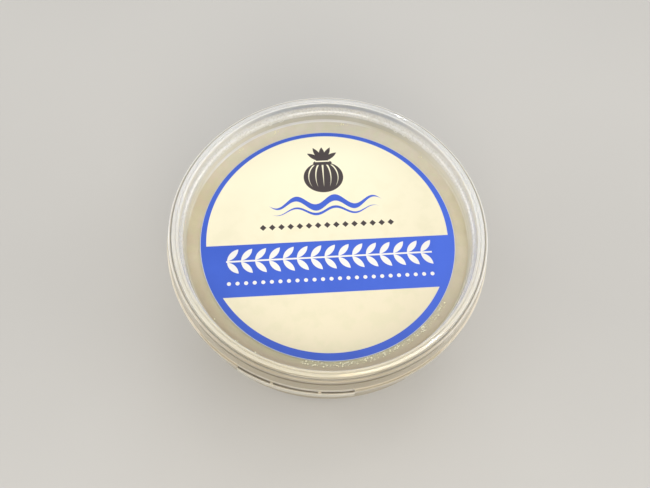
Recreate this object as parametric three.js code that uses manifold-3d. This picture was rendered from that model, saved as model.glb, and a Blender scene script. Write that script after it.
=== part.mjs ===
// A shut round plastic tub of burrata: a tapered tub with a guard ring, a snap-in lid with a sunken panel, and a
// round paper label. Millimetres, +Z up, origin at the middle of the base, front towards -Y.
import * as THREE from "three";
import { mergeVertices } from "three/addons/utils/BufferGeometryUtils.js";
import Module from "manifold-3d";

const wasm = await Module();
wasm.setup();

// Driving sizes.
const LABEL_RADIUS = 40;
const FLANGE_RADIUS = 49.95;
const BASE_RADIUS = 39.5;
const PANEL_TOP = 47.3;
const CREST_HEIGHT = 8.6;
const SKIRT_DROP = 12.8;
const FIT_GAP = 0.3;

// Tub body and foot.
const FOOT_RISE = 1.2;
const FOOT_WIDTH = 3.7;
const FOOT_ROUND = 1.4;
const MOUTH_RADIUS = 45.8;
const WALL = 0.5;
const BODY_TOP_RADIUS = MOUTH_RADIUS + WALL;
const FILL_TOP = PANEL_TOP - 1.2;

// Collar: the skirt that hangs round the body, the flange band and the guard ring round the lid.
const FLANGE_UNDER = PANEL_TOP - 2;
const BAND_LOW = PANEL_TOP - 1;
const BAND_HIGH = PANEL_TOP + 1.3;
const CHANNEL_FLOOR = PANEL_TOP + 1.3;
const SKIRT_BOTTOM = PANEL_TOP - SKIRT_DROP;
const SKIRT_TOP_RADIUS = FLANGE_RADIUS - 0.7;
const SKIRT_LOW_RADIUS = FLANGE_RADIUS - 1.9;
const SKIRT_WALL = 1.1;
const GUARD_FOOT_RADIUS = FLANGE_RADIUS - 0.5;
const GUARD_TOP_RADIUS = FLANGE_RADIUS - 1.35;
const GUARD_WALL = 0.9;
const GUARD_TOP = PANEL_TOP + 7.8;

// Break-off tab: a stretch of the guard ring, cut free at its ends and along its foot apart from two thin bridges.
const TAB_FROM = -28;
const TAB_TO = 12;
const TAB_BRIDGES = [-15.5, 0.5];
const BRIDGE_ANGLE = 1.1;
const TAB_END_ANGLE = 0.4;
const TAB_SLIT_LOW = BAND_HIGH + 0.1;
const TAB_SLIT = 0.6;
const TAB_LIP = 0.3;

// Lid.
const PANEL_RADIUS = 44.45;
const PANEL_THICKNESS = 0.9;
const STEP_RISE = 4.4;
const STEP_WIDTH = 0.6;
const CREST_INNER_RADIUS = 45.4;
const CREST_OUTER_RADIUS = GUARD_TOP_RADIUS - GUARD_WALL - FIT_GAP;
const LID_FOOT_RADIUS = CREST_OUTER_RADIUS + 0.35;
const CREST_ROUND = 0.6;
const LID_PLUG_RADIUS = MOUTH_RADIUS - FIT_GAP;

// Label: stuck a little off the lid's middle.
const LABEL_THICKNESS = 0.2;
const LABEL_GAP = 0.05;
const LABEL_SHIFT_X = 0.1;
const LABEL_SHIFT_Y = -0.35;

const SIDES = 72;
const ROUND_STEPS = 3;

// A point of a turned profile: distance from the axis, and height.
function at(radius, height) {
  return new THREE.Vector2(radius, height);
}

// Points on a round corner about a centre, from one angle to another, both in degrees.
function corner(radius, height, size, from, to, steps = ROUND_STEPS) {
  const points = [];
  for (let i = 0; i <= steps; i += 1) {
    const angle = THREE.MathUtils.degToRad(from + ((to - from) * i) / steps);
    points.push(at(radius + size * Math.cos(angle), height + size * Math.sin(angle)));
  }
  return points;
}

// Turns a profile, listed from the axis outwards along the bottom and back along the top, about +Z.
function turned(profile) {
  return new THREE.LatheGeometry(profile, SIDES).rotateX(Math.PI / 2);
}

// A sector of a ring. Angles are in degrees from the front, positive towards +X.
function ringSector(inner, outer, low, high, from, to) {
  const start = THREE.MathUtils.degToRad(from - 90);
  const end = THREE.MathUtils.degToRad(to - 90);
  const shape = new THREE.Shape();
  shape.absarc(0, 0, outer, start, end, false);
  shape.absarc(0, 0, inner, end, start, true);
  shape.closePath();
  const curveSegments = Math.max(2, Math.round((to - from) / 5));
  const geometry = new THREE.ExtrudeGeometry(shape, { depth: high - low, bevelEnabled: false, curveSegments });
  return geometry.translate(0, 0, low);
}

// The closed solid inside a geometry, with its shared vertices merged and its collapsed triangles left out.
function solidOf(geometry) {
  const bare = geometry.clone();
  bare.deleteAttribute("normal");
  bare.deleteAttribute("uv");
  const merged = mergeVertices(bare);
  const corners = merged.index.array;
  const triangles = [];
  for (let i = 0; i < corners.length; i += 3) {
    const [a, b, c] = corners.slice(i, i + 3);
    if (a !== b && b !== c && c !== a) {
      triangles.push(a, b, c);
    }
  }
  return new wasm.Manifold(
    new wasm.Mesh({
      numProp: 3,
      vertProperties: new Float32Array(merged.attributes.position.array),
      triVerts: new Uint32Array(triangles),
    }),
  );
}

function geometryOf(solid) {
  const mesh = solid.getMesh();
  const geometry = new THREE.BufferGeometry();
  geometry.setAttribute("position", new THREE.BufferAttribute(mesh.vertProperties, mesh.numProp));
  geometry.setIndex(new THREE.BufferAttribute(mesh.triVerts, 1));
  geometry.computeVertexNormals();
  return geometry;
}

function piece(name, solid, material) {
  const mesh = new THREE.Mesh(geometryOf(solid), material);
  mesh.name = name;
  return mesh;
}

// The tub with its contents as one solid: foot, tapered wall, hanging skirt, flange band and guard ring.
function tubSolid() {
  const footOuter = BASE_RADIUS - FOOT_ROUND;
  const footInner = footOuter - FOOT_WIDTH + FOOT_ROUND;
  const beadRound = GUARD_WALL / 2;
  const beadHeight = GUARD_TOP - beadRound;
  const profile = [
    at(0, FOOT_RISE),
    at(footInner - FOOT_RISE, FOOT_RISE),
    at(footInner, 0),
    ...corner(footOuter, FOOT_ROUND, FOOT_ROUND, -90, 0),
    at(BODY_TOP_RADIUS, FLANGE_UNDER),
    at(SKIRT_TOP_RADIUS - SKIRT_WALL, FLANGE_UNDER),
    at(SKIRT_LOW_RADIUS - SKIRT_WALL, SKIRT_BOTTOM),
    at(SKIRT_LOW_RADIUS, SKIRT_BOTTOM),
    at(SKIRT_TOP_RADIUS, BAND_LOW - 0.4),
    at(FLANGE_RADIUS, BAND_LOW),
    at(FLANGE_RADIUS, BAND_HIGH),
    at(GUARD_FOOT_RADIUS, BAND_HIGH + 0.4),
    ...corner(GUARD_TOP_RADIUS - beadRound, beadHeight, beadRound, 0, 180, 4),
    at(GUARD_FOOT_RADIUS - GUARD_WALL, CHANNEL_FLOOR),
    at(MOUTH_RADIUS, CHANNEL_FLOOR),
    at(MOUTH_RADIUS, FILL_TOP),
    at(0, FILL_TOP),
  ];
  return solidOf(turned(profile));
}

// The lip that shows under the tab's slit, a little prouder than the flange band beside it.
function tabLip() {
  const inner = FLANGE_RADIUS - 1;
  const outer = FLANGE_RADIUS + TAB_LIP;
  return solidOf(ringSector(inner, outer, BAND_LOW + 0.2, BAND_HIGH, TAB_FROM, TAB_TO));
}

// The slots that free the tab: one stretch along its foot between each pair of bridges, and one at each end.
function tabSlots() {
  const inner = GUARD_TOP_RADIUS - GUARD_WALL - 0.1;
  const outer = FLANGE_RADIUS + 1;
  const halfBridge = BRIDGE_ANGLE / 2;
  const starts = [TAB_FROM, ...TAB_BRIDGES.map((angle) => angle + halfBridge)];
  const ends = [...TAB_BRIDGES.map((angle) => angle - halfBridge), TAB_TO];
  const slots = starts.map((start, i) =>
    solidOf(ringSector(inner, outer, TAB_SLIT_LOW, TAB_SLIT_LOW + TAB_SLIT, start, ends[i])),
  );
  for (const end of [TAB_FROM, TAB_TO - TAB_END_ANGLE]) {
    slots.push(solidOf(ringSector(inner, outer, TAB_SLIT_LOW, GUARD_TOP + 1, end, end + TAB_END_ANGLE)));
  }
  return slots;
}

function tub() {
  let solid = tubSolid().add(tabLip());
  for (const slot of tabSlots()) {
    solid = solid.subtract(slot);
  }
  const material = new THREE.MeshStandardMaterial({ color: 0xd8d4c6, roughness: 0.35, metalness: 0 });
  return piece("tub", solid, material);
}

// The lid: a flat sunken panel, a wall with a stacking step, and a rounded crest that sits inside the guard ring.
function lid() {
  const stepHeight = PANEL_TOP + STEP_RISE;
  const crestTop = PANEL_TOP + CREST_HEIGHT;
  const crestMiddle = crestTop - CREST_ROUND;
  const profile = [
    at(0, PANEL_TOP - PANEL_THICKNESS),
    at(LID_PLUG_RADIUS, PANEL_TOP - PANEL_THICKNESS),
    at(LID_PLUG_RADIUS, CHANNEL_FLOOR + FIT_GAP),
    at(LID_FOOT_RADIUS - 0.3, CHANNEL_FLOOR + FIT_GAP),
    at(LID_FOOT_RADIUS, CHANNEL_FLOOR + 2 * FIT_GAP),
    ...corner(CREST_OUTER_RADIUS - CREST_ROUND, crestMiddle, CREST_ROUND, 0, 90),
    ...corner(CREST_INNER_RADIUS + CREST_ROUND, crestMiddle, CREST_ROUND, 90, 180),
    at(CREST_INNER_RADIUS, stepHeight + STEP_WIDTH),
    at(CREST_INNER_RADIUS - STEP_WIDTH, stepHeight),
    at(PANEL_RADIUS, PANEL_TOP + 0.3),
    at(PANEL_RADIUS - 0.3, PANEL_TOP),
    at(0, PANEL_TOP),
  ];
  const material = new THREE.MeshStandardMaterial({ color: 0xdedaca, roughness: 0.3, metalness: 0 });
  return piece("lid", solidOf(turned(profile)), material);
}

function label() {
  const low = PANEL_TOP + LABEL_GAP;
  const high = low + LABEL_THICKNESS;
  const profile = [at(0, low), at(LABEL_RADIUS, low), at(LABEL_RADIUS, high), at(0, high)];
  const material = new THREE.MeshStandardMaterial({ color: 0x4f6ede, roughness: 0.45, metalness: 0 });
  const mesh = piece("label", solidOf(turned(profile)), material);
  mesh.position.set(LABEL_SHIFT_X, LABEL_SHIFT_Y, 0);
  return mesh;
}

const burrataTub = new THREE.Group();
burrataTub.add(tub(), lid(), label());

export default burrataTub;
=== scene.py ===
"""A shut round tub of burrata: frosted tub and snap-in lid, cream contents, condensation under the lid and a paper
label.
"""

import math

import bmesh
import bpy
from mathutils import Matrix, Vector


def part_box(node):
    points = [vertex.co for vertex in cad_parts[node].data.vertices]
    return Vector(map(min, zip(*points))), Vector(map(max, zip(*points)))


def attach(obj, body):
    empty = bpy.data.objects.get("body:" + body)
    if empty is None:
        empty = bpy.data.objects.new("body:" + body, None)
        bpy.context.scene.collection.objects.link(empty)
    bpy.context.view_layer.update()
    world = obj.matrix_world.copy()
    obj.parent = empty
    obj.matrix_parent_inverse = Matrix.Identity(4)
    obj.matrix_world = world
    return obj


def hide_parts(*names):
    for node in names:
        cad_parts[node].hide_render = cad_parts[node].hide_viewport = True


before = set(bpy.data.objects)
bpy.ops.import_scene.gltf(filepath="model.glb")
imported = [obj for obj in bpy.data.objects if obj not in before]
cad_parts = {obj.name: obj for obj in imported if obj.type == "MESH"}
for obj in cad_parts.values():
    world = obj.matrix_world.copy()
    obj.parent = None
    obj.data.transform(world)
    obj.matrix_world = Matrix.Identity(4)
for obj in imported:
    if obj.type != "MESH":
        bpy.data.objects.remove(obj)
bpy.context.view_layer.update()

MM = 0.001

# Sizes read from the frame, in millimetres.
LID_LOW, LID_HIGH = (corner.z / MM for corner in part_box("lid"))
LABEL_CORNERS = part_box("label")
LABEL_RADIUS = (LABEL_CORNERS[1].x - LABEL_CORNERS[0].x) / 2 / MM
LABEL_X = (LABEL_CORNERS[1].x + LABEL_CORNERS[0].x) / 2 / MM
LABEL_Y = (LABEL_CORNERS[1].y + LABEL_CORNERS[0].y) / 2 / MM
TUB_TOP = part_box("tub")[1].z / MM
PANEL_THICKNESS = 0.9
PANEL = LID_LOW + PANEL_THICKNESS

# Rim radii and heights above the panel, in millimetres.
FLANGE_RADIUS = 49.95
MOUTH_RADIUS = 45.8
PANEL_RADIUS = 44.45
CREST_INNER = 45.4
CREST_OUTER = 47.4
CREST_HEIGHT = LID_HIGH - PANEL
GUARD_HEIGHT = TUB_TOP - PANEL
SKIRT_DROP = 12.8
BAND_TOP = 1.3
BASE_RADIUS = 39.5

# The break-off tab: angles in degrees from the front, positive towards +X.
TAB_FROM, TAB_TO = -28.0, 12.0
TAB_BRIDGES = (-15.5, 0.5)
BRIDGE_ANGLE = 1.1
TAB_END_ANGLE = 0.4
TAB_SLIT_LOW, TAB_SLIT_HIGH = 0.8, 1.5
SLIT_CHANNEL_LOW = -0.7
TAB_GROOVE = 0.14

# The tub is glossy down to this height against the lid's panel and matt below it.
MATT_BELOW = -1.4

# The photograph's camera, worked out from the outline of the label: place in millimetres from the tub's foot.
CAMERA_PLACE = (-0.8, -99.4, 244.0)
CAMERA_DOWN = math.radians(63.77)
CAMERA_ROLL = math.radians(3.83)
FOCAL_PIXELS = 700
IMAGE_WIDTH = 650
SENSOR = 36.0

# Label print, in millimetres from the label's middle.
PRINT_TURN = math.radians(7.4)
FIELD_RADIUS = 37.98
FIELD_SHIFT = (-0.12, 0.47)
BAND_LOW_EDGE, BAND_HIGH_EDGE = -18.5, -1.0

TICK_ANGLE = 156.5
CREST_FLAT = 46.85
LAMP_HEIGHT = 900.0
WET_SPOTS = (
    (42.7, 43.8, -136, -132.5), (42.6, 44.1, -154, -151), (42.8, 44.2, 174, 180), (43.0, 44.0, 136, 139),
    (43.3, 43.9, -36.5, -33.5), (42.6, 43.6, -26.6, -25.2), (43.2, 43.8, -48, -46.5),
)
# Rings left by drops on the lid's wall: angle from the front, height above the panel and size.
MARKS = ((145.5, 4.2, 1.5), (149.0, 3.4, 0.7), (136.5, 4.4, 1.1), (153.0, 3.2, 0.7), (-156.0, 3.6, 0.9), (-151.0, 3.2, 0.6))

TURNS = 288
FOOT_FLAT = 8.0 * MM
SHARP_ANGLE = math.radians(40)


class Wire:
    """An output socket that takes part in sums: each operator adds one Math node to its tree."""

    def __init__(self, tree, socket):
        self.tree = tree
        self.socket = socket

    def math(self, operation, *values):
        return self.tree.node("ShaderNodeMath", {"operation": operation}, dict(enumerate((self, *values))))

    def __add__(self, other):
        return self.math("ADD", other)

    __radd__ = __add__

    def __sub__(self, other):
        return self.math("SUBTRACT", other)

    def __rsub__(self, other):
        return self.math("MULTIPLY", -1.0).math("ADD", other)

    def __mul__(self, other):
        return self.math("MULTIPLY", other)

    __rmul__ = __mul__

    def __truediv__(self, other):
        return self.math("DIVIDE", other)

    def __abs__(self):
        return self.math("ABSOLUTE")

    def sin(self):
        return self.math("SINE")

    def cos(self):
        return self.math("COSINE")

    def root(self):
        return self.math("SQRT")

    def nearest(self):
        return self.math("ROUND")

    def smaller(self, other):
        return self.math("MINIMUM", other)

    def larger(self, other):
        return self.math("MAXIMUM", other)

    def unit(self):
        """Held between 0 and 1."""
        return self.smaller(1.0).larger(0.0)


class Tree:
    """A shader or geometry tree that grows one node at a time."""

    def __init__(self, tree):
        self.tree = tree

    def node(self, kind, settings=None, inputs=None, out=0):
        """Adds a node. Settings come first, with a ramp's stops as a list of (place, colour)."""
        made = self.tree.nodes.new(kind)
        for name, value in (settings or {}).items():
            if name == "stops":
                self.set_stops(made.color_ramp, value)
            else:
                setattr(made, name, value)
        for name, value in (inputs or {}).items():
            if isinstance(value, Wire):
                self.tree.links.new(value.socket, made.inputs[name])
            else:
                made.inputs[name].default_value = value
        return Wire(self, made.outputs[out]) if made.outputs else made

    @staticmethod
    def set_stops(ramp, stops):
        while len(ramp.elements) < len(stops):
            ramp.elements.new(1.0)
        for element, (place, colour) in zip(ramp.elements, stops):
            element.position = place
            element.color = (*colour, 1.0)

    def mix(self, share, low, high):
        """A colour between two, each a Wire or a plain colour."""
        ends = {key: end if isinstance(end, Wire) else (*end, 1.0) for key, end in ((6, low), (7, high))}
        return self.node("ShaderNodeMix", {"data_type": "RGBA"}, {0: share, **ends}, out=2)

    def vector(self, x, y, z):
        return self.node("ShaderNodeCombineXYZ", {}, {"X": x, "Y": y, "Z": z})

    def parts(self, vector):
        split = self.tree.nodes.new("ShaderNodeSeparateXYZ")
        self.tree.links.new(vector.socket, split.inputs[0])
        return [Wire(self, socket) for socket in split.outputs]

    def noise(self, place, scale, detail=2.0, roughness=0.5):
        settings = {"noise_dimensions": "3D"}
        inputs = {"Vector": place, "Scale": scale, "Detail": detail, "Roughness": roughness}
        return self.node("ShaderNodeTexNoise", settings, inputs)


def srgb(red, green, blue):
    """A colour given as 0 to 255 on a screen, in Blender's linear values."""
    values = (channel / 255 for channel in (red, green, blue))
    return tuple(v / 12.92 if v <= 0.04045 else ((v + 0.055) / 1.055) ** 2.4 for v in values)


# Turned forms.


def corner_arc(before, corner, after, size, steps=4):
    """The points of a round corner of the given radius."""
    here = Vector(corner)
    back = Vector(before) - here
    ahead = Vector(after) - here
    half = back.angle(ahead) / 2
    reach = min(size / math.tan(half), back.length * 0.49, ahead.length * 0.49)
    radius = reach * math.tan(half)
    middle = here + (back.normalized() + ahead.normalized()).normalized() * (radius / math.sin(half))
    start = here + back.normalized() * reach - middle
    end = here + ahead.normalized() * reach - middle
    sweep = start.angle_signed(end)
    turned = [Matrix.Rotation(-sweep * i / steps, 2) @ start + middle for i in range(steps + 1)]
    return [tuple(point) for point in turned]


def rounded(corners):
    """A profile from corners given as (radius, height, size of rounding), all in millimetres."""
    points = []
    for i, (radius, height, size) in enumerate(corners):
        if size and 0 < i < len(corners) - 1:
            points += corner_arc(corners[i - 1][:2], (radius, height), corners[i + 1][:2], size)
        else:
            points.append((radius, height))
    return points


def split_long(points, longest):
    """The same profile with its long stretches cut shorter, so that slight unevenness can bend them."""
    cut = [points[0]]
    for start, end in zip(points, points[1:]):
        pieces = max(1, math.ceil(math.dist(start, end) / longest))
        cut += [tuple(a + (b - a) * i / pieces for a, b in zip(start, end)) for i in range(1, pieces + 1)]
    return cut


def turned_tree():
    """Turns the profile in an object's own mesh about the upright axis and makes it slightly uneven."""
    group = bpy.data.node_groups.new("turned_form", "GeometryNodeTree")
    sockets = group.interface
    sockets.new_socket("Geometry", in_out="INPUT", socket_type="NodeSocketGeometry")
    sockets.new_socket("Turns", in_out="INPUT", socket_type="NodeSocketInt")
    sockets.new_socket("Unevenness", in_out="INPUT", socket_type="NodeSocketFloat")
    sockets.new_socket("Seed", in_out="INPUT", socket_type="NodeSocketFloat")
    sockets.new_socket("Finish", in_out="INPUT", socket_type="NodeSocketMaterial")
    sockets.new_socket("Geometry", in_out="OUTPUT", socket_type="NodeSocketGeometry")
    tree = Tree(group)
    given = group.nodes.new("NodeGroupInput")
    profile, turns, unevenness, seed, finish = (Wire(tree, given.outputs[i]) for i in range(5))
    count = tree.node("GeometryNodeAttributeDomainSize", {"component": "MESH"}, {0: profile})
    grid = tree.node("GeometryNodeMeshGrid", {}, {"Size X": 1.0, "Size Y": 1.0, "Vertices X": count, "Vertices Y": turns + 1})
    along, around, _ = tree.parts(tree.node("GeometryNodeInputPosition"))
    row = ((along + 0.5) * (count - 1)).nearest()
    place = tree.node("GeometryNodeInputPosition")
    sampled = tree.node("GeometryNodeSampleIndex", {"data_type": "FLOAT_VECTOR"}, {0: profile, "Value": place, "Index": row})
    radius, _, height = tree.parts(sampled)
    angle = (around + 0.5) * math.tau
    swept = tree.vector(radius * angle.cos(), radius * angle.sin(), height)
    formed = tree.node("GeometryNodeSetPosition", {}, {"Geometry": grid, "Position": swept})
    welded = tree.node("GeometryNodeMergeByDistance", {}, {"Geometry": formed, "Distance": 1e-6})
    outward = tree.node("GeometryNodeFlipFaces", {}, {0: welded})
    settings = {"noise_dimensions": "4D"}
    noise = tree.node("ShaderNodeTexNoise", settings, {"W": seed, "Scale": 45.0, "Detail": 1.0})
    normal = tree.node("GeometryNodeInputNormal")
    lifted = (tree.parts(tree.node("GeometryNodeInputPosition"))[2] / FOOT_FLAT).unit()
    reach = (noise - 0.5) * unevenness * lifted
    push = tree.node("ShaderNodeVectorMath", {"operation": "SCALE"}, {0: normal, "Scale": reach})
    uneven = tree.node("GeometryNodeSetPosition", {}, {"Geometry": outward, "Offset": push})
    real = tree.node("GeometryNodeRealizeInstances", {}, {0: uneven})
    finished = tree.node("GeometryNodeSetMaterial", {}, {"Geometry": real, "Material": finish})
    tree.node("NodeGroupOutput", {}, {0: finished})
    return group


def run_tree(name, source, group, values):
    """Runs a geometry tree on a source mesh and keeps the result as a plain mesh object."""
    rough = bpy.data.objects.new(name + "_source", source)
    bpy.context.scene.collection.objects.link(rough)
    modifier = rough.modifiers.new("form", "NODES")
    modifier.node_group = group
    for item in group.interface.items_tree:
        if item.in_out == "INPUT" and item.name in values:
            modifier[item.identifier] = values[item.name]
    return keep_result(rough, name)


def keep_result(rough, name):
    """Turns an object with modifiers into a plain mesh object of the given name."""
    bpy.context.view_layer.update()
    evaluated = rough.evaluated_get(bpy.context.evaluated_depsgraph_get())
    mesh = bpy.data.meshes.new_from_object(evaluated)
    mesh.name = name
    bpy.data.objects.remove(rough)
    made = bpy.data.objects.new(name, mesh)
    bpy.context.scene.collection.objects.link(made)
    return made


def smooth(piece):
    """Merges doubles, points the faces outwards and shades round stretches smooth."""
    work = bmesh.new()
    work.from_mesh(piece.data)
    bmesh.ops.remove_doubles(work, verts=work.verts, dist=1e-6)
    bmesh.ops.recalc_face_normals(work, faces=work.faces)
    work.to_mesh(piece.data)
    work.free()
    piece.data.shade_smooth()
    piece.data.set_sharp_from_angle(angle=SHARP_ANGLE)


def chain_mesh(name, profile):
    """A mesh that holds one profile as a chain of points in the XZ plane, in metres."""
    mesh = bpy.data.meshes.new(name)
    points = [(radius * MM, 0.0, height * MM) for radius, height in profile]
    mesh.from_pydata(points, [(i, i + 1) for i in range(len(points) - 1)], [])
    return mesh


def turned_piece(name, profile, finish, group, unevenness=0.0, seed=0.0):
    values = {"Turns": TURNS, "Unevenness": unevenness * MM, "Seed": seed, "Finish": finish}
    piece = run_tree(name, chain_mesh(name + "_profile", profile), group, values)
    smooth(piece)
    return piece


def four_sided(inner, outer, low, high, lean=0.0, fall=0.0):
    """A ring's section. Its inner side leans in by lean, and its top falls outwards by fall."""
    return [(inner, low), (outer, low), (outer, high - fall), (inner - lean, high)]


def ring_sector(name, section, start, end, finish):
    """A closed sector of a ring: its section as (radius, height) in millimetres, its ends in degrees from the front."""
    steps = max(2, math.ceil(end - start))
    work = bmesh.new()
    sections = []
    for i in range(steps + 1):
        angle = math.radians(start + (end - start) * i / steps - 90)
        places = [(r * math.cos(angle) * MM, r * math.sin(angle) * MM, z * MM) for r, z in section]
        sections.append([work.verts.new(place) for place in places])
    for one, two in zip(sections, sections[1:]):
        for k in range(len(section)):
            work.faces.new((one[k - 1], one[k], two[k], two[k - 1]))
    work.faces.new(sections[0][::-1])
    work.faces.new(sections[-1])
    bmesh.ops.recalc_face_normals(work, faces=work.faces)
    mesh = bpy.data.meshes.new(name)
    work.to_mesh(mesh)
    work.free()
    mesh.materials.append(finish)
    made = bpy.data.objects.new(name, mesh)
    bpy.context.scene.collection.objects.link(made)
    return made


def boolean(piece, other, operation):
    """Cuts or joins another solid into a piece and keeps the result as a plain mesh."""
    modifier = piece.modifiers.new(operation.lower(), "BOOLEAN")
    modifier.operation = operation
    modifier.solver = "EXACT"
    modifier.object = other
    name = piece.name
    piece.name = name + "_before"
    made = keep_result(piece, name)
    bpy.data.objects.remove(other)
    return made


# Finishes.


def new_finish(name):
    """A material with its Tree and its Principled shader."""
    material = bpy.data.materials.new(name)
    material.use_nodes = True
    material.node_tree.nodes.clear()
    tree = Tree(material.node_tree)
    shader = material.node_tree.nodes.new("ShaderNodeBsdfPrincipled")
    output = material.node_tree.nodes.new("ShaderNodeOutputMaterial")
    material.node_tree.links.new(shader.outputs[0], output.inputs["Surface"])
    return material, tree, shader


def plug(tree, value, shader, socket):
    tree.tree.links.new(value.socket, shader.inputs[socket])


def set_values(shader, values):
    for name, value in values.items():
        shader.inputs[name].default_value = value


def object_place(tree):
    return tree.node("ShaderNodeTexCoord", {}, {}, out="Object")


def bump(tree, height, strength, distance):
    return tree.node("ShaderNodeBump", {}, {"Height": height, "Strength": strength, "Distance": distance})


def frosted_plastic(name, tone, clear):
    """Natural polypropylene: milky, slightly uneven, with a soft gloss and fine flow marks.

    The tone is a function that gives the colour from the tree, the place and a slow cloudy noise.
    """
    material, tree, shader = new_finish(name)
    place = object_place(tree)
    cloud = tree.noise(place, 60.0, 3.0)
    fine = tree.noise(place, 900.0, 3.0, 0.6)
    plug(tree, tone(tree, place, cloud), shader, "Base Color")
    matt = 1.0 - ramp_up(tree.parts(place)[2] / MM - PANEL, -1.8, MATT_BELOW)
    plug(tree, 0.29 + 0.08 * cloud + 0.05 * fine + 0.25 * matt, shader, "Roughness")
    plug(tree, 1.0 - 0.85 * matt, shader, "Coat Weight")
    plug(tree, bump(tree, fine, 0.12, 0.0002), shader, "Normal")
    scatter = {"Subsurface Weight": 0.9, "Subsurface Scale": 1.6 * MM, "Subsurface Radius": (1.0, 0.95, 0.85)}
    set_values(shader, {"Transmission Weight": clear, "IOR": 1.49, "Coat Roughness": 0.07, **scatter})
    return material


def ramp_up(value, low, high):
    """0 below the low value, 1 above the high one, and straight between them."""
    return ((value - low) / (high - low)).unit()


def tub_tone(tree, place, cloud):
    """Warm milky white with painted light and shade: darker and browner on the front as painted shade, lightest along
    the guard ring's edge and the flange band as painted highlight, and dark inside the slit and gap as painted shade.
    """
    x, y, z = tree.parts(place)
    radius = length(x, y) / MM
    rise = z / MM - PANEL
    # Painted shade: the wall, edge and band tones turn darker and browner towards the front.
    front = ramp_up(-1 * y / MM, 10.0, 46.0)
    wall = tree.mix(front, tree.mix(cloud, (0.60, 0.55, 0.45), (0.70, 0.65, 0.55)), (0.46, 0.40, 0.285))
    edge = tree.mix(front, tree.mix(cloud, (0.90, 0.87, 0.80), (0.96, 0.93, 0.87)), (0.50, 0.435, 0.32))
    band = tree.mix(front, tree.mix(cloud, (0.78, 0.72, 0.58), (0.86, 0.80, 0.67)), (0.60, 0.53, 0.40))
    # Painted highlight: the tab's lip is lighter than the band beside it on the front.
    on_lip = ramp_up(radius, 49.99, 50.06)
    band = tree.mix(on_lip, band, (0.82, 0.74, 0.57))
    # Painted shade and highlight: the guard ring's outer wall is darker than its lighter top edge.
    colour = tree.mix(ramp_up(rise, 6.65, 6.85), wall, edge)
    # Painted shade in the guard ring's groove, near black at the front.
    groove = ramp_up(rise, 5.45, 5.6) * (1.0 - ramp_up(rise, 6.35, 6.5)) * ramp_up(radius, 48.0, 48.1)
    colour = tree.mix(groove, colour, tree.mix(front, (0.70, 0.66, 0.57), (0.24, 0.20, 0.13)))
    # Painted highlight: a lighter warm stripe just above the slit on the front.
    colour = tree.mix(ramp_up(rise, 1.5, 1.7) * (1.0 - ramp_up(rise, 2.1, 2.5)) * front, colour, (0.85, 0.76, 0.60))
    # Painted shade: below the flange on the front the tub is darker, and the hanging skirt darker still.
    skirt = tree.mix(ramp_up(rise, -1 * SKIRT_DROP - 0.4, -1 * SKIRT_DROP), (0.60, 0.54, 0.43), (0.45, 0.39, 0.28))
    colour = tree.mix((1.0 - ramp_up(rise, -1.5, -1.2)) * front, colour, skirt)
    # Painted highlight: the flange band is lighter than the guard wall above it.
    on_band = (ramp_up(rise, -1.0, -0.8) * (1.0 - ramp_up(rise, 1.35, 1.45))).larger(on_lip)
    colour = tree.mix(on_band, colour, band)
    # Painted shade on the guard ring's inner face, in the narrow gap beside the lid.
    colour = tree.mix(ramp_up(rise, 1.6, 2.0) * (1.0 - ramp_up(radius, 48.05, 48.15)), colour, (0.60, 0.57, 0.50))
    # Painted shade: the inside of the slit and the channel behind it are painted dark brown.
    inside = ramp_up(rise, -1.3, -1.0) * (1.0 - ramp_up(rise, TAB_SLIT_HIGH - 0.05, TAB_SLIT_HIGH + 0.05))
    inside = inside * (1.0 - ramp_up(radius, 49.62, 49.72))
    ledge = ramp_up(rise, 0.6, 0.7) * (1.0 - ramp_up(rise, 1.0, 1.1)) * (1.0 - ramp_up(radius, 49.76, 49.84))
    inside = inside.larger(ledge)
    return tree.mix(inside, colour, (0.50, 0.39, 0.25))


def ring_mark(place, turn, height, size):
    """A thin dried ring of water on the lid's wall: its angle, its height above the panel and its size."""
    tree = place.tree
    middle = (45.1 * math.sin(turn) * MM, -45.1 * math.cos(turn) * MM, (PANEL + height) * MM)
    apart = tree.node("ShaderNodeVectorMath", {"operation": "DISTANCE"}, {0: place, 1: middle}, out=1)
    return fill(abs(apart / MM - size) - 0.13, 0.2)


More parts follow.
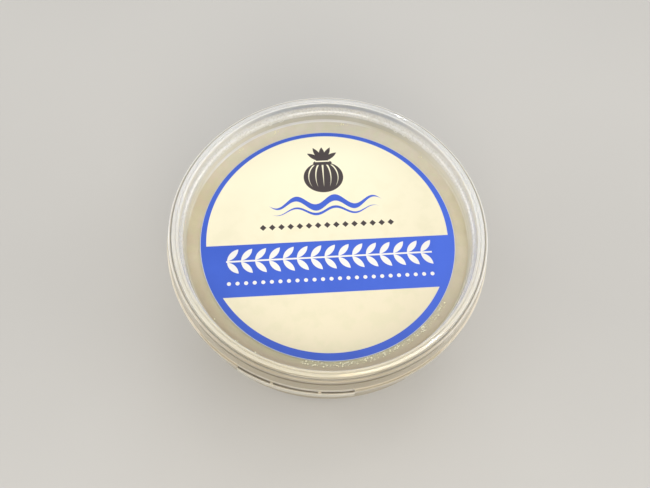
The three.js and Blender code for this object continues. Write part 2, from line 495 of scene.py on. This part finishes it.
def lid_tone(tree, place, cloud):
    """White rim and wall, lightest on the ledge, and a cream panel with the contents close under it. Painted shade
    darkens the walls at the back and front, the crest's back, the front of the panel and the gap; the panel's back is
    painted lighter, and a painted highlight runs along the crease at the back.
    """
    x, y, z = tree.parts(place)
    radius = length(x, y) / MM
    rise = z / MM - PANEL
    side = ramp_up(abs(x) / MM, 18.0, 42.0)
    blotch = tree.noise(place, 260.0, 3.0, 0.6)
    speckle = tree.noise(place, 1300.0, 2.0, 0.6)
    front = ramp_up(-1 * y / MM, -10.0, 46.0)
    back = ramp_up(y / MM, 10.0, 44.0)
    white = tree.mix(cloud, (0.92, 0.915, 0.885), (0.96, 0.955, 0.93))
    # Painted shade: the crest's white is greyer at the back.
    white = tree.mix(back, white, (0.80, 0.805, 0.80))
    # Partly the cream contents behind it and partly painted shade: the crest is darker and warmer towards the front.
    crest = tree.mix(front, white, tree.mix(cloud, (0.80, 0.71, 0.54), (0.84, 0.75, 0.58)))
    frosting = tree.mix(ramp_up(speckle, 0.42, 0.52), (0.88, 0.86, 0.79), (1.0, 0.985, 0.93))
    # Painted shade: the upper and lower walls are dark grey at the back and front and light at the sides.
    upper_wall = tree.mix(side, tree.mix(cloud, (0.46, 0.48, 0.51), (0.54, 0.56, 0.58)), (0.95, 0.91, 0.82))
    lower_wall = tree.mix(side, tree.mix(blotch, (0.58, 0.56, 0.48), (0.70, 0.68, 0.59)), (0.95, 0.90, 0.77))
    patches = ramp_up(0.5 * cloud + 0.5 * blotch, 0.35, 0.65)
    panel = tree.mix(patches, (0.72, 0.63, 0.45), (0.84, 0.75, 0.56))
    # Painted light: the panel is lighter and greyer at the back.
    panel = tree.mix(back, panel, tree.mix(patches, (0.78, 0.745, 0.65), (0.89, 0.86, 0.76)))
    # Painted shade: the panel is darker towards the front.
    shaded_front_panel = tree.mix(ramp_up(radius, 40.8, 42.5), (0.66, 0.61, 0.38), (0.65, 0.55, 0.39))
    panel = tree.mix(ramp_up(-1 * y / MM, 10.0, 40.0), panel, shaded_front_panel)
    ledge = ramp_up(rise, 2.9, 3.6) * (1.0 - ramp_up(rise, 6.0, 7.2))
    on_crest = ramp_up(rise, 8.3, 8.45).larger(ramp_up(rise, 7.9, 8.0) * ramp_up(radius, 45.9, 46.0))
    on_crest = on_crest.larger(ramp_up(radius, 47.2, 47.3))
    colour = tree.mix(on_crest, upper_wall, crest)
    colour = tree.mix(1.0 - ramp_up(rise, 2.6, 3.4), colour, lower_wall)
    colour = tree.mix(ledge, colour, frosting)
    # Painted highlight along the crease at the panel's edge, whitest at the back left.
    crease_highlight = ramp_up(y / MM, 14.0, 26.0) * (1.0 - ramp_up(x / MM, 4.0, 16.0))
    crease = tree.mix(crease_highlight, (0.82, 0.77, 0.62), (1.0, 0.98, 0.92))
    colour = tree.mix(1.0 - ramp_up(rise, 0.8, 1.1), colour, crease)
    for turn, height, size in MARKS:
        colour = tree.mix(0.8 * ring_mark(place, math.radians(turn), height, size), colour, (1.0, 0.99, 0.93))
    # Painted shade in the gap between the crest and the tub's guard, darkest at the back and front.
    gap = tree.mix(side, (0.47, 0.42, 0.32), (0.93, 0.91, 0.86))
    colour = tree.mix(ramp_up(radius, 47.5, 47.6), colour, gap)
    tint = tree.mix(ramp_up(tree.noise(place, 330.0), 0.42, 0.58), (0.82, 0.69, 0.54), (0.77, 0.74, 0.48))
    panel = tree.mix(0.3 * (1.0 - front), panel, tint)
    return tree.mix(1.0 - ramp_up(rise, 0.05, 0.15), colour, panel)


def contents_finish():
    """Cream-coloured brine and cheese behind the frosted wall, with slow cloudy changes of tone."""
    material, tree, shader = new_finish("cream_contents")
    place = object_place(tree)
    cloud = tree.noise(place, 38.0, 4.0, 0.55)
    ramp = tree.node("ShaderNodeValToRGB", {"stops": [(0.35, srgb(186, 172, 128)), (0.65, srgb(214, 203, 170))]}, {0: cloud})
    plug(tree, ramp, shader, "Base Color")
    plug(tree, 0.25 + 0.15 * cloud, shader, "Roughness")
    return material


def water_finish():
    """Drops of cloudy brine, with a faint unevenness of gloss."""
    material, tree, shader = new_finish("cloudy_drops")
    place = object_place(tree)
    speck = tree.noise(place, 400.0)
    plug(tree, tree.mix(speck, (1.0, 0.93, 0.62), (1.0, 0.98, 0.80)), shader, "Base Color")
    plug(tree, 0.04 + 0.06 * speck, shader, "Roughness")
    set_values(shader, {"IOR": 1.33, "Coat Weight": 1.0, "Coat Roughness": 0.03})
    return material


def fill(distance, soft=0.09):
    """1 inside a shape and 0 outside, from a distance in millimetres that is negative inside."""
    return (0.5 - distance / soft).unit()


def length(a, b):
    return (a * a + b * b).root()


def disc(u, v, middle, radius):
    return length(u - middle[0], v - middle[1]) - radius


def leaf(u, v, middle, turn, long, wide):
    """A pointed leaf: where two discs overlap."""
    cosine, sine = math.cos(turn), math.sin(turn)
    across, up = u - middle[0], v - middle[1]
    along = across * cosine + up * sine
    aside = abs(up * cosine - across * sine)
    radius = (long * long + wide * wide) / (2 * wide)
    return length(along, aside + (radius - wide)) - radius


def repeated(value, pitch, count):
    """The distance to the nearest of the places at every pitch, with a count of them on each side of the middle."""
    return value - (value / pitch).nearest().smaller(count).larger(-count) * pitch


def printed_label(tree, place):
    """The print: a blue ring and band on cream, with a plain garland, a tied pouch, waves and lozenges."""
    settings = {"vector_type": "TEXTURE"}
    centre = (LABEL_X * MM, LABEL_Y * MM, 0.0)
    turned = tree.node("ShaderNodeMapping", settings, {0: place, 1: centre, 2: (0.0, 0.0, PRINT_TURN), 3: (MM, MM, MM)})
    u, v, _ = tree.parts(turned)
    from_middle = length(u, v)

    # Painted light and shade: the cream is paler towards the back left and darker towards the front, with darker
    # blotches of painted shade mixed in at the front.
    paler = ramp_up(v - 0.2 * u + 10.0 * tree.noise(place, 70.0, 3.0), -28.0, 32.0)
    cream = tree.mix(paler, (0.785, 0.715, 0.53), (0.90, 0.865, 0.665))
    shade_blotches = 0.45 * (1.0 - paler) * ramp_up(tree.noise(place, 210.0, 3.0), 0.47, 0.62)
    cream = tree.mix(shade_blotches, cream, (0.72, 0.69, 0.48))
    blue = tree.mix(tree.noise(place, 120.0, 2.0), (0.030, 0.095, 0.57), (0.045, 0.125, 0.66))
    # Painted light: the blue is lighter towards the right.
    blue = tree.mix(0.6 * ramp_up(u, 4.0, 34.0), blue, (0.05, 0.14, 0.77))
    charcoal = srgb(62, 53, 55)
    white = srgb(236, 235, 233)

    # Pouch: a round body gathered into a tied neck, with folds running down from the tie and a frill over it.
    middle, girth, squash, tie = 22.4, 6.5, 1.12, 28.5
    body = disc(u, v * squash, (0.0, middle * squash), girth)
    neck = leaf(u, v, (0.0, tie - 0.6), 0.0, 3.2, 1.5)
    frill = leaf(u, v, (0.0, tie + 2.5), math.pi / 2, 3.0, 1.0)
    for side in (-1, 1):
        for lean, long in ((0.5, 3.0), (1.0, 2.9)):
            root = (side * math.sin(lean) * long, tie + 0.1 + math.cos(lean) * long)
            frill = frill.smaller(leaf(u, v, root, math.pi / 2 - side * lean, long, 0.85))
    pouch = fill(body.smaller(neck).smaller(frill))
    high = (v - middle) * squash
    half = (girth * girth - high * high).larger(0.0).root()
    thin = ramp_up(v, middle - 4.0, tie) * 0.34
    folds = fill(abs(u) - thin, 0.12)
    for share in (0.38, 0.74):
        folds = folds.larger(fill(abs(abs(u) - half * share) - thin, 0.12))
    folds = folds * ramp_up(v, middle - 3.8, middle - 3.0) * (1.0 - ramp_up(v, tie - 1.6, tie - 1.3))
    folds = folds.larger(fill(abs(v - tie) - 0.24) * fill(abs(u) - 2.4))

    # Waves under the pouch, thick in the middle and thin at their ends.
    taper = (1.0 - (u / 19.0) * (u / 19.0)).larger(0.0)
    ripple = (u * (math.tau / 12.5)).sin()
    wave = fill(abs(v - 12.8 - ripple * 1.7) - taper * 1.35 + 0.12)
    low_wave = fill(abs(v - 9.9 - ripple * 1.2) - taper * 0.6 + 0.12)

    # A row of lozenges over the band.
    lozenges = fill(abs(repeated(u, 2.9, 7)) + abs(v - 4.6) - 1.05)

    # The garland in the band: pairs of leaves along a thin stem, and a row of dots under it.
    aside = abs(v + 6.6)
    pairs = fill(leaf(repeated(u, 4.3, 7), aside, (0.15, 2.15), math.radians(48), 2.6, 0.95))
    stem = fill(aside - 0.28) * fill(abs(u) - 32.0)
    garland = pairs.larger(stem)
    dots = fill(length(repeated(u, 2.6, 12), v + 14.0) - 0.62)

    band = fill(abs(v - (BAND_LOW_EDGE + BAND_HIGH_EDGE) / 2) - (BAND_HIGH_EDGE - BAND_LOW_EDGE) / 2)
    field = fill(disc(u, v, FIELD_SHIFT, FIELD_RADIUS))
    colour = tree.mix(field, blue, cream)
    colour = tree.mix(wave.larger(low_wave), colour, blue)
    colour = tree.mix((pouch - folds).unit().larger(lozenges), colour, charcoal)
    colour = tree.mix(band * fill(from_middle - LABEL_RADIUS + 1.0), colour, blue)
    colour = tree.mix(garland.larger(dots), colour, white)
    return tree.mix(fill(LABEL_RADIUS - 0.16 - from_middle), colour, srgb(214, 222, 236))


def label_finish():
    """Coated paper with its print, a faint grain and a soft gloss."""
    material, tree, shader = new_finish("printed_label")
    place = object_place(tree)
    plug(tree, printed_label(tree, place), shader, "Base Color")
    grain = tree.noise(place, 1500.0, 3.0, 0.6)
    cockle = tree.noise(place, 55.0, 2.0)
    plug(tree, 0.38 + 0.1 * grain, shader, "Roughness")
    plug(tree, bump(tree, grain * 0.15 + cockle, 0.25, 0.0003), shader, "Normal")
    return material


def floor_finish():
    material, tree, shader = new_finish("pale_floor")
    place = object_place(tree)
    tone = tree.noise(place, 8.0, 3.0)
    plug(tree, tree.mix(tone, (0.50, 0.495, 0.485), (0.54, 0.535, 0.525)), shader, "Base Color")
    plug(tree, 0.5 + 0.1 * tone, shader, "Roughness")
    return material


# Pieces.


def tub_profile():
    """The tub's thin wall: foot, tapered side, hanging skirt, flange band, guard ring, and back down inside."""
    wall = 0.6
    skirt_wall = 1.0
    return rounded([
        (0, 1.2, 0), (34.5, 1.2, 0.8), (35.8, 0, 0.4), (38.1, 0, 0.3), (BASE_RADIUS, 1.4, 1.2),
        (MOUTH_RADIUS + wall, PANEL - 2.0, 0.5), (FLANGE_RADIUS - 1.8, PANEL - 2.0, 0.4),
        (FLANGE_RADIUS - 1.9 - skirt_wall, PANEL - SKIRT_DROP, 0.2), (FLANGE_RADIUS - 1.9, PANEL - SKIRT_DROP, 0.35),
        (FLANGE_RADIUS - 0.7, PANEL - 1.4, 0.25), (FLANGE_RADIUS, PANEL - 1.0, 0.3),
        (FLANGE_RADIUS, PANEL + BAND_TOP, 0.35), (FLANGE_RADIUS - 0.55, PANEL + BAND_TOP + 0.4, 0.3),
        (FLANGE_RADIUS - 0.80, PANEL + 3.6, 0.2), (FLANGE_RADIUS - 0.88, PANEL + 3.7, 0.2),
        (FLANGE_RADIUS - 1.09, PANEL + 5.45, 0.1), (FLANGE_RADIUS - 1.32, PANEL + 5.65, 0.1),
        (FLANGE_RADIUS - 1.39, PANEL + 6.35, 0.1), (FLANGE_RADIUS - 1.22, PANEL + 6.55, 0.1),
        (FLANGE_RADIUS - 1.35, PANEL + GUARD_HEIGHT, 0.4), (FLANGE_RADIUS - 2.15, PANEL + GUARD_HEIGHT, 0.38),
        (FLANGE_RADIUS - 1.4, PANEL + BAND_TOP, 0.3), (MOUTH_RADIUS, PANEL + BAND_TOP, 0.3),
        (MOUTH_RADIUS, PANEL - 2.4, 0.5), (BASE_RADIUS - wall, 2.8, 1.5), (BASE_RADIUS - 2.8, 1.9, 0.8), (0, 1.9, 0),
    ])


def make_tub(finish, group):
    body = turned_piece("tub_wall", split_long(tub_profile(), 4.0), finish, group, unevenness=0.05, seed=3.0)
    low, high, channel = (PANEL + height for height in (TAB_SLIT_LOW, TAB_SLIT_HIGH, SLIT_CHANNEL_LOW))
    groove = FLANGE_RADIUS - 0.57 - TAB_GROOVE
    outer = FLANGE_RADIUS + 1.0
    end_section = four_sided(groove, outer, PANEL + 2.0, PANEL + 5.9, lean=0.55)
    for end in (TAB_FROM, TAB_TO - TAB_END_ANGLE):
        body = boolean(body, ring_sector("end_cut", end_section, end, end + TAB_END_ANGLE, finish), "DIFFERENCE")
    lip_section = four_sided(FLANGE_RADIUS - 0.6, FLANGE_RADIUS + 0.28, PANEL - 1.7, low, fall=0.25)
    body = boolean(body, ring_sector("tab_lip", lip_section, TAB_FROM, TAB_TO, finish), "UNION")
    inner, step = FLANGE_RADIUS - 2.35, FLANGE_RADIUS - 0.2
    slit_section = [(inner, channel), (step, channel), (step, low), (outer, low), (outer, high), (inner, high)]
    half = BRIDGE_ANGLE / 2
    starts = [TAB_FROM, *(bridge + half for bridge in TAB_BRIDGES)]
    ends = [*(bridge - half for bridge in TAB_BRIDGES), TAB_TO]
    for start, end in zip(starts, ends):
        body = boolean(body, ring_sector("slit", slit_section, start, end, finish), "DIFFERENCE")
    smooth(body)
    return body


def lid_profile():
    """The lid's thin sheet: under the panel, up inside the hollow crest, round its foot, and back over the top."""
    top = PANEL + CREST_HEIGHT
    return rounded([
        (0, LID_LOW, 0), (MOUTH_RADIUS - 0.55, LID_LOW, 0.8), (MOUTH_RADIUS - 0.3, PANEL + 3.6, 0.4),
        (CREST_INNER + 0.65, PANEL + 5.4, 0.4), (CREST_INNER + 0.6, top - 0.7, 0.35), (CREST_OUTER - 0.6, top - 0.7, 0.35),
        (CREST_OUTER + 0.2, PANEL + 2.0, 0.1), (CREST_OUTER + 1.0, PANEL + 2.0, 0.25),
        (CREST_OUTER + 0.40, PANEL + 7.45, 0.12), (CREST_OUTER + 0.05, PANEL + 7.65, 0.12),
        (CREST_OUTER, top - 0.15, 0.15), (47.28, top, 0.1), (47.1, top, 0), (46.62, top, 0), (46.5, top, 0.1),
        (46.25, top - 0.35, 0.12),
        (46.05, top, 0.4), (CREST_INNER, top - 0.2, 0.5), (CREST_INNER + 0.02, PANEL + 5.7, 0.8),
        (CREST_INNER - 0.2, PANEL + 4.95, 0.5), (CREST_INNER - 0.56, PANEL + 4.65, 0.2),
        (CREST_INNER - 0.68, PANEL + 4.3, 0.2), (PANEL_RADIUS + 0.1, PANEL, 0.8), (0, PANEL, 0),
    ])


def make_lid(finish, group):
    """The lid, with a small moulded tick across its crest at the back."""
    sheet = turned_piece("lid_sheet", split_long(lid_profile(), 3.0), finish, group, unevenness=0.04, seed=8.0)
    top = PANEL + CREST_HEIGHT
    tick_end = TICK_ANGLE + 0.7
    tick_section = four_sided(46.2, CREST_OUTER - 0.1, top - 0.5, top - 0.01)
    tick = ring_sector("tick", tick_section, TICK_ANGLE, tick_end, finish)
    sheet = boolean(sheet, tick, "UNION")
    smooth(sheet)
    return sheet


def make_contents(finish, group):
    """The contents up to just under the lid, reaching a little into the wall."""
    sink = 0.25
    inner_base = BASE_RADIUS - 0.6 + sink
    inner_top = MOUTH_RADIUS + sink
    level = LID_LOW - 0.9
    profile = rounded([
        (0, 1.7, 0), (BASE_RADIUS - 2.8, 1.7, 0.8), (inner_base, 2.8, 1.5),
        (inner_top, level + 0.4, 0.2), (inner_top - 1.6, level, 0.8), (0, level, 0),
    ])
    return turned_piece("contents", split_long(profile, 4.0), finish, group, unevenness=0.1, seed=15.0)


def make_label(finish, group):
    """The paper disc, cockled by a few hundredths of a millimetre."""
    low, high = (corner.z / MM for corner in LABEL_CORNERS)
    profile = rounded([(0, low, 0), (LABEL_RADIUS, low, 0.03), (LABEL_RADIUS, high - 0.04, 0.05), (0, high - 0.04, 0)])
    piece = turned_piece("paper_label", split_long(profile, 0.8), finish, group, unevenness=0.03, seed=21.0)
    piece.data.transform(Matrix.Translation((LABEL_X * MM, LABEL_Y * MM, 0.0)))
    return piece


def drops_tree():
    """Scatters flattened drops of mixed size over the faces that it is given."""
    group = bpy.data.node_groups.new("scattered_drops", "GeometryNodeTree")
    sockets = group.interface
    sockets.new_socket("Geometry", in_out="INPUT", socket_type="NodeSocketGeometry")
    sockets.new_socket("Density", in_out="INPUT", socket_type="NodeSocketFloat")
    sockets.new_socket("Smallest", in_out="INPUT", socket_type="NodeSocketFloat")
    sockets.new_socket("Largest", in_out="INPUT", socket_type="NodeSocketFloat")
    sockets.new_socket("Seed", in_out="INPUT", socket_type="NodeSocketInt")
    sockets.new_socket("Finish", in_out="INPUT", socket_type="NodeSocketMaterial")
    sockets.new_socket("Geometry", in_out="OUTPUT", socket_type="NodeSocketGeometry")
    tree = Tree(group)
    given = group.nodes.new("NodeGroupInput")
    faces, density, smallest, largest, seed, finish = (Wire(tree, given.outputs[i]) for i in range(6))
    settings = {"distribute_method": "RANDOM"}
    points = tree.node("GeometryNodeDistributePointsOnFaces", settings, {"Mesh": faces, "Density": density, "Seed": seed})
    drop = tree.node("GeometryNodeMeshIcoSphere", {}, {"Radius": 1.0, "Subdivisions": 2})
    share = tree.node("FunctionNodeRandomValue", {"data_type": "FLOAT"}, {"Seed": seed + 1}, out=1)
    size = smallest + (largest - smallest) * share * share * share
    scale = tree.vector(size, size, size * 0.45)
    placed = tree.node("GeometryNodeInstanceOnPoints", {}, {"Points": points, "Instance": drop, "Scale": scale})
    real = tree.node("GeometryNodeRealizeInstances", {}, {0: placed})
    finished = tree.node("GeometryNodeSetMaterial", {}, {"Geometry": real, "Material": finish})
    tree.node("NodeGroupOutput", {}, {0: finished})
    return group


def flat_sector(name, inner, outer, height, start, end):
    """A flat stretch of ring for drops to lie on."""
    work = bmesh.new()
    steps = max(2, math.ceil((end - start) / 4))
    rows = []
    for i in range(steps + 1):
        angle = math.radians(start + (end - start) * i / steps - 90)
        rows.append([work.verts.new((r * math.cos(angle) * MM, r * math.sin(angle) * MM, height * MM)) for r in (inner, outer)])
    for one, two in zip(rows, rows[1:]):
        work.faces.new((one[0], one[1], two[1], two[0]))
    mesh = bpy.data.meshes.new(name)
    work.to_mesh(mesh)
    work.free()
    return mesh


def make_drops(finish):
    """Condensation under the lid's panel, and a few loose drops on top of it at the front."""
    group = drops_tree()
    under = flat_sector("under_panel", LABEL_RADIUS + 0.4, PANEL_RADIUS - 0.4, LID_LOW - 0.06, 0, 360)
    values = {"Density": 1.2e6, "Smallest": 0.08 * MM, "Largest": 0.5 * MM, "Seed": 4, "Finish": finish}
    made = [run_tree("drops_under_lid", under, group, values)]
    front = flat_sector("front_panel", LABEL_RADIUS + 0.5, LABEL_RADIUS + 2.0, PANEL + 0.02, -8, 62)
    values = {"Density": 2.6e6, "Smallest": 0.12 * MM, "Largest": 0.32 * MM, "Seed": 9, "Finish": finish}
    made.append(run_tree("drops_on_lid", front, group, values))
    back = [flat_sector("back_panel", inner, outer, PANEL + 0.02, start, end) for inner, outer, start, end in WET_SPOTS]
    values = {"Density": 1.4e6, "Smallest": 0.2 * MM, "Largest": 0.45 * MM, "Seed": 5, "Finish": finish}
    made += [run_tree(f"drops_at_edge_{i}", spot, group, values) for i, spot in enumerate(back)]
    for piece in made:
        piece.data.shade_smooth()
    return made


# Stage.


def make_floor():
    bpy.ops.mesh.primitive_plane_add(size=4.0)
    floor = bpy.context.object
    floor.name = "floor"
    floor.data.materials.append(floor_finish())


def area_light(name, place, size, power, colour):
    """A rectangular soft light that faces the tub: its size is (across, up)."""
    data = bpy.data.lights.new(name, "AREA")
    data.shape = "RECTANGLE"
    data.size, data.size_y = size
    data.energy = power
    data.color = colour
    light = bpy.data.objects.new(name, data)
    bpy.context.scene.collection.objects.link(light)
    aim = Vector((0, 0, PANEL * MM)) - Vector(place)
    light.matrix_world = Matrix.Translation(place) @ aim.to_track_quat("-Z", "Y").to_matrix().to_4x4()


def crest_lamp_place(angle):
    """Where a lamp is seen mirrored in the flat of the crest at an angle in degrees from the front."""
    turn = math.radians(angle)
    mirror = Vector((CREST_FLAT * math.sin(turn), -CREST_FLAT * math.cos(turn), PANEL + CREST_HEIGHT))
    seen_from = Vector(CAMERA_PLACE) - mirror
    bounced = Vector((-seen_from.x, -seen_from.y, seen_from.z))
    return (mirror + bounced * ((LAMP_HEIGHT - mirror.z) / bounced.z)) * MM


def make_lights():
    area_light("ceiling", (0.05, -0.10, 0.95), (1.5, 1.0), 3.8, (1.0, 0.985, 0.96))
    area_light("lamp_behind", (0.0, 0.90, 0.60), (0.6, 0.3), 1.4, (0.98, 0.99, 1.0))
    area_light("front_lamp", (0.10, -0.90, 0.75), (0.8, 0.5), 5.0, (1.0, 0.92, 0.80))
    for side in (-1, 1):
        area_light(f"side_lamp_{side}", (side * 0.95, 0.0, 0.32), (0.9, 0.45), 4.4, (1.0, 0.97, 0.91))
    for angle, power, colour in ((11, 0.034, (1.0, 0.72, 0.30)), (19, 0.045, (1.0, 0.9, 0.74)), (27, 0.03, (1.0, 0.86, 0.6))):
        area_light(f"warm_lamp_{angle}", crest_lamp_place(angle), (0.04, 0.03), power, colour)
    area_light("warm_lamp_35", crest_lamp_place(35), (0.035, 0.03), 0.028, (1.0, 0.86, 0.74))
    for angle in (42.5, 154.0):
        area_light(f"small_lamp_{angle:.0f}", crest_lamp_place(angle), (0.014, 0.02), 0.03, (0.97, 0.98, 1.0))
    world = bpy.data.worlds.new("studio")
    world.use_nodes = True
    world.node_tree.nodes["Background"].inputs["Color"].default_value = (0.88, 0.88, 0.87, 1.0)
    world.node_tree.nodes["Background"].inputs["Strength"].default_value = 0.50
    bpy.context.scene.world = world


def make_camera():
    """The photograph's view: looking down at the tub, turned a few degrees about the line of sight."""
    data = bpy.data.cameras.new("camera")
    data.sensor_width = SENSOR
    data.lens = FOCAL_PIXELS / IMAGE_WIDTH * SENSOR
    data.clip_start = 0.01
    camera = bpy.data.objects.new("camera", data)
    bpy.context.scene.collection.objects.link(camera)
    forward = Vector((0, math.cos(CAMERA_DOWN), -math.sin(CAMERA_DOWN)))
    level = Vector((1, 0, 0))
    upward = level.cross(forward)
    right = level * math.cos(CAMERA_ROLL) + upward * math.sin(CAMERA_ROLL)
    above = upward * math.cos(CAMERA_ROLL) - level * math.sin(CAMERA_ROLL)
    turn = Matrix((right, above, -forward)).transposed().to_4x4()
    camera.matrix_world = Matrix.Translation(Vector(CAMERA_PLACE) * MM) @ turn
    bpy.context.scene.camera = camera


def main():
    make_camera()
    make_floor()
    make_lights()
    bpy.context.scene.view_settings.view_transform = "Standard"
    group = turned_tree()
    tub = make_tub(frosted_plastic("frosted_tub", tub_tone, 0.25), group)
    lid = make_lid(frosted_plastic("frosted_lid", lid_tone, 0.25), group)
    label = make_label(label_finish(), group)
    contents = make_contents(contents_finish(), group)
    drops = make_drops(water_finish())
    for piece, node, slot in ((tub, "tub", "tub_plastic"), (lid, "lid", "lid_plastic"), (label, "label", "label_paper")):
        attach(piece, "root")
        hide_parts(node)
    for piece in (contents, *drops):
        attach(piece, "root")
    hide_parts("tub")


main()
